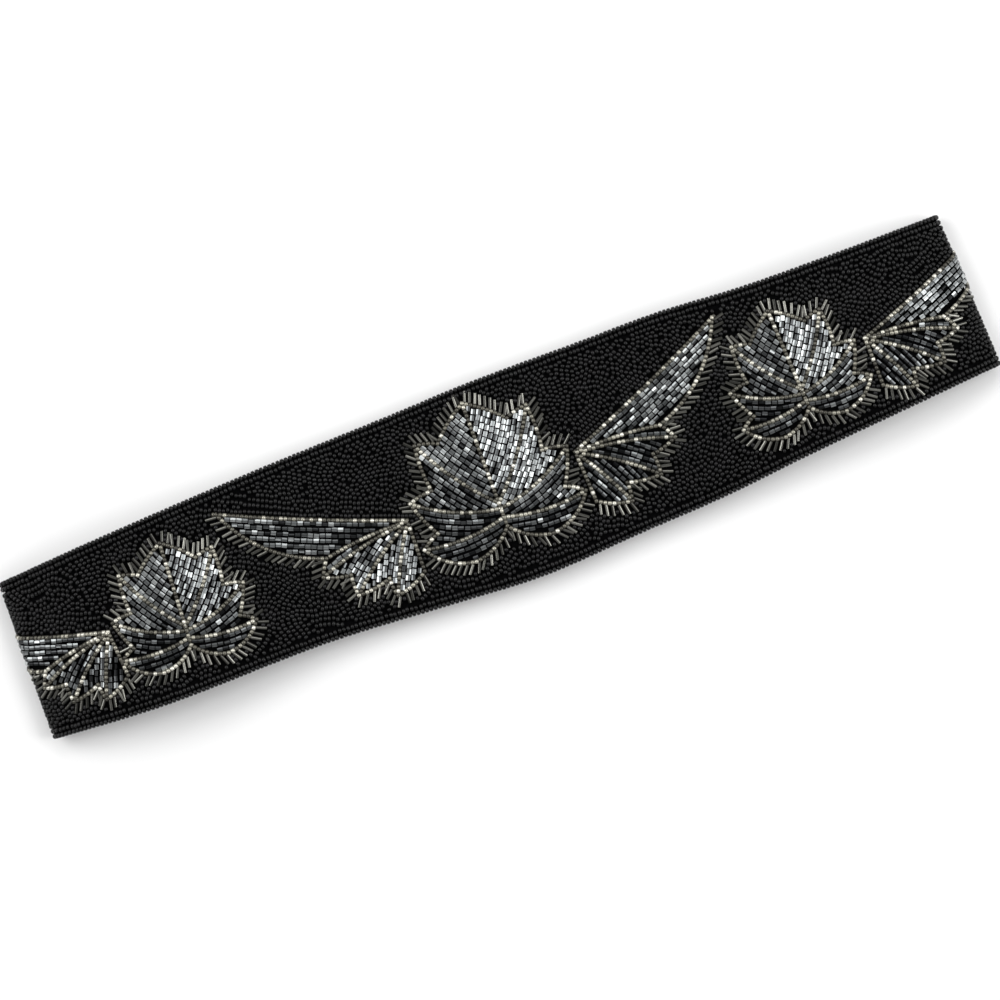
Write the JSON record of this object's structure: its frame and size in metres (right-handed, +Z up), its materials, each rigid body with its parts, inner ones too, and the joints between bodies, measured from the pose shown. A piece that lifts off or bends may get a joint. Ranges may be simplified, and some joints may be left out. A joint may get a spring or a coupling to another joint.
{
  "type": "beaded cummerbund",
  "caption": "Wide waist belt of black beadwork with raised leaf motifs, closed at the back and pressed flat, front upwards.",
  "frame": {"origin": "middle of the band on the surface that it lies on", "axes": "+X along the band towards the right of its front, +Y across it towards its upper edge, +Z up, out of the beaded front"},
  "size_m": [0.3799, 0.0778, 0.021],
  "materials": {
    "black_beadwork": "cloth close-covered with opaque black seed beads",
    "black_sateen": "stiffened cotton sateen, soft sheen",
    "closing_tape": "matt woven nylon, hook and loop",
    "black_seed_beads": "opaque black glass, glossy",
    "gunmetal_cut_beads": "metallic grey facets with a bluish flash",
    "champagne_beads": "silver lined, warm pale grey",
    "smoke_bugle_beads": "smoke grey tubes, silver lined"
  },
  "bodies": {
    "root": {"front_panel": "black_beadwork", "back_under": "black_sateen", "back_over": "black_sateen", "hook_tape": "closing_tape", "loop_tape": "closing_tape"}
  },
  "joints": []
}
